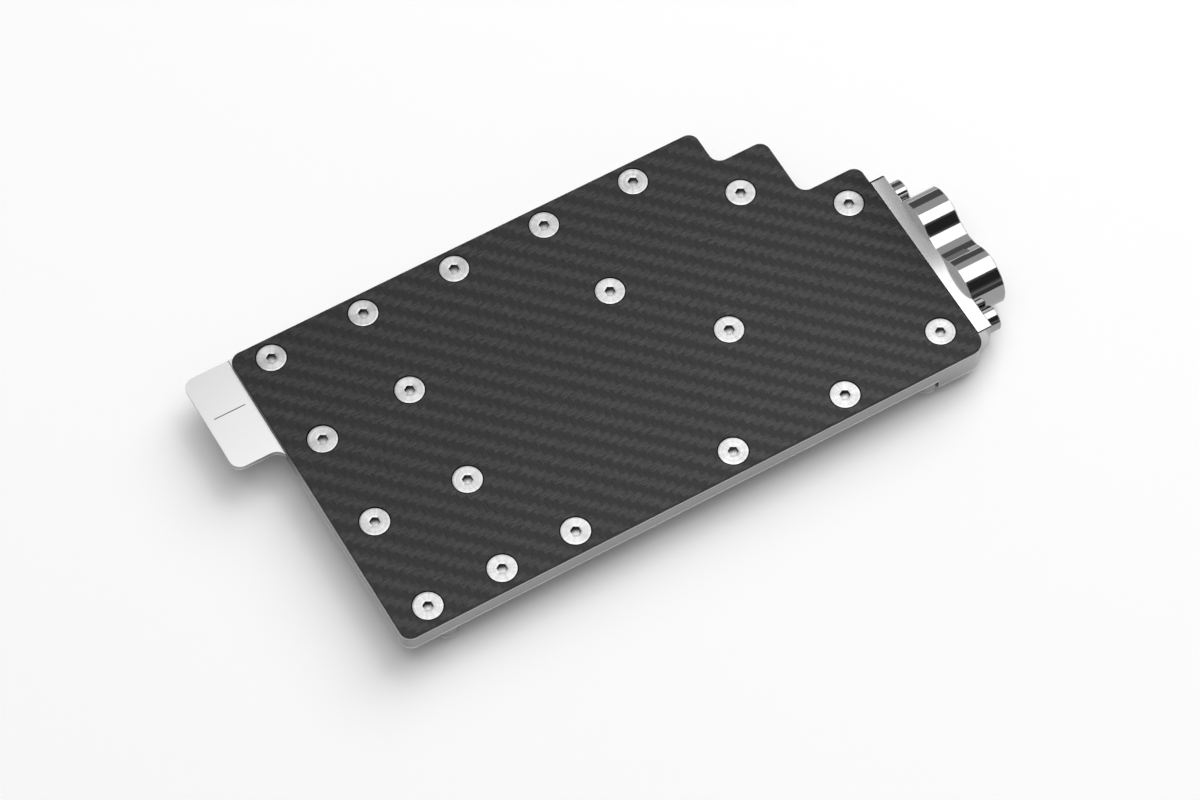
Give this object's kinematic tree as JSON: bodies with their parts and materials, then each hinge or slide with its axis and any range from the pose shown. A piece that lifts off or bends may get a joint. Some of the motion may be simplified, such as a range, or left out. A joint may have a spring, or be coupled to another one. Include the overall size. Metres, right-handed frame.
{
  "type": "graphics card water block",
  "caption": "Flat liquid cooling block for a graphics card: finned metal cold plate under a carbon fibre faced cover, with a tab at one end and a threaded port terminal at the other.",
  "frame": {"origin": "centre of the raised face that presses on the graphics chip", "axes": "+X along the card towards the ports, +Y across the card towards the edge with the tab, +Z away from the card, through the carbon facing"},
  "size_m": [0.2016, 0.0963, 0.0168],
  "materials": {
    "carbon_fibre": "satin clear coat over woven twill",
    "adhesive": "clear film",
    "cover_steel": "fine ground",
    "plated_base": "bright nickel plating on copper",
    "plated_terminal": "polished chrome plating on brass",
    "screw_steel": "turned stainless steel",
    "cap_screw_steel": "bright stainless steel",
    "seal_rubber": "matte",
    "jet_steel": "rolled sheet",
    "spacer_plastic": "machined",
    "thermal_pad": "soft matte"
  },
  "bodies": {
    "root": {"carbon_facing": "carbon_fibre", "adhesive_film": "adhesive", "cover_plate": "cover_steel", "cold_plate": "plated_base", "cover_screws": "screw_steel", "cover_gasket": "seal_rubber", "inner_screw_seals": "seal_rubber", "jet_plate": "jet_steel", "jet_spacer": "spacer_plastic", "terminal_block": "plated_terminal", "port_seals": "seal_rubber", "terminal_screws": "cap_screw_steel", "memory_pads_left": "thermal_pad", "memory_pads_right": "thermal_pad", "memory_pads_front": "thermal_pad", "memory_pads_rear": "thermal_pad", "power_stage_pad_left": "thermal_pad", "power_stage_pad_right": "thermal_pad", "choke_pad_left": "thermal_pad", "choke_pad_right": "thermal_pad"}
  },
  "joints": []
}
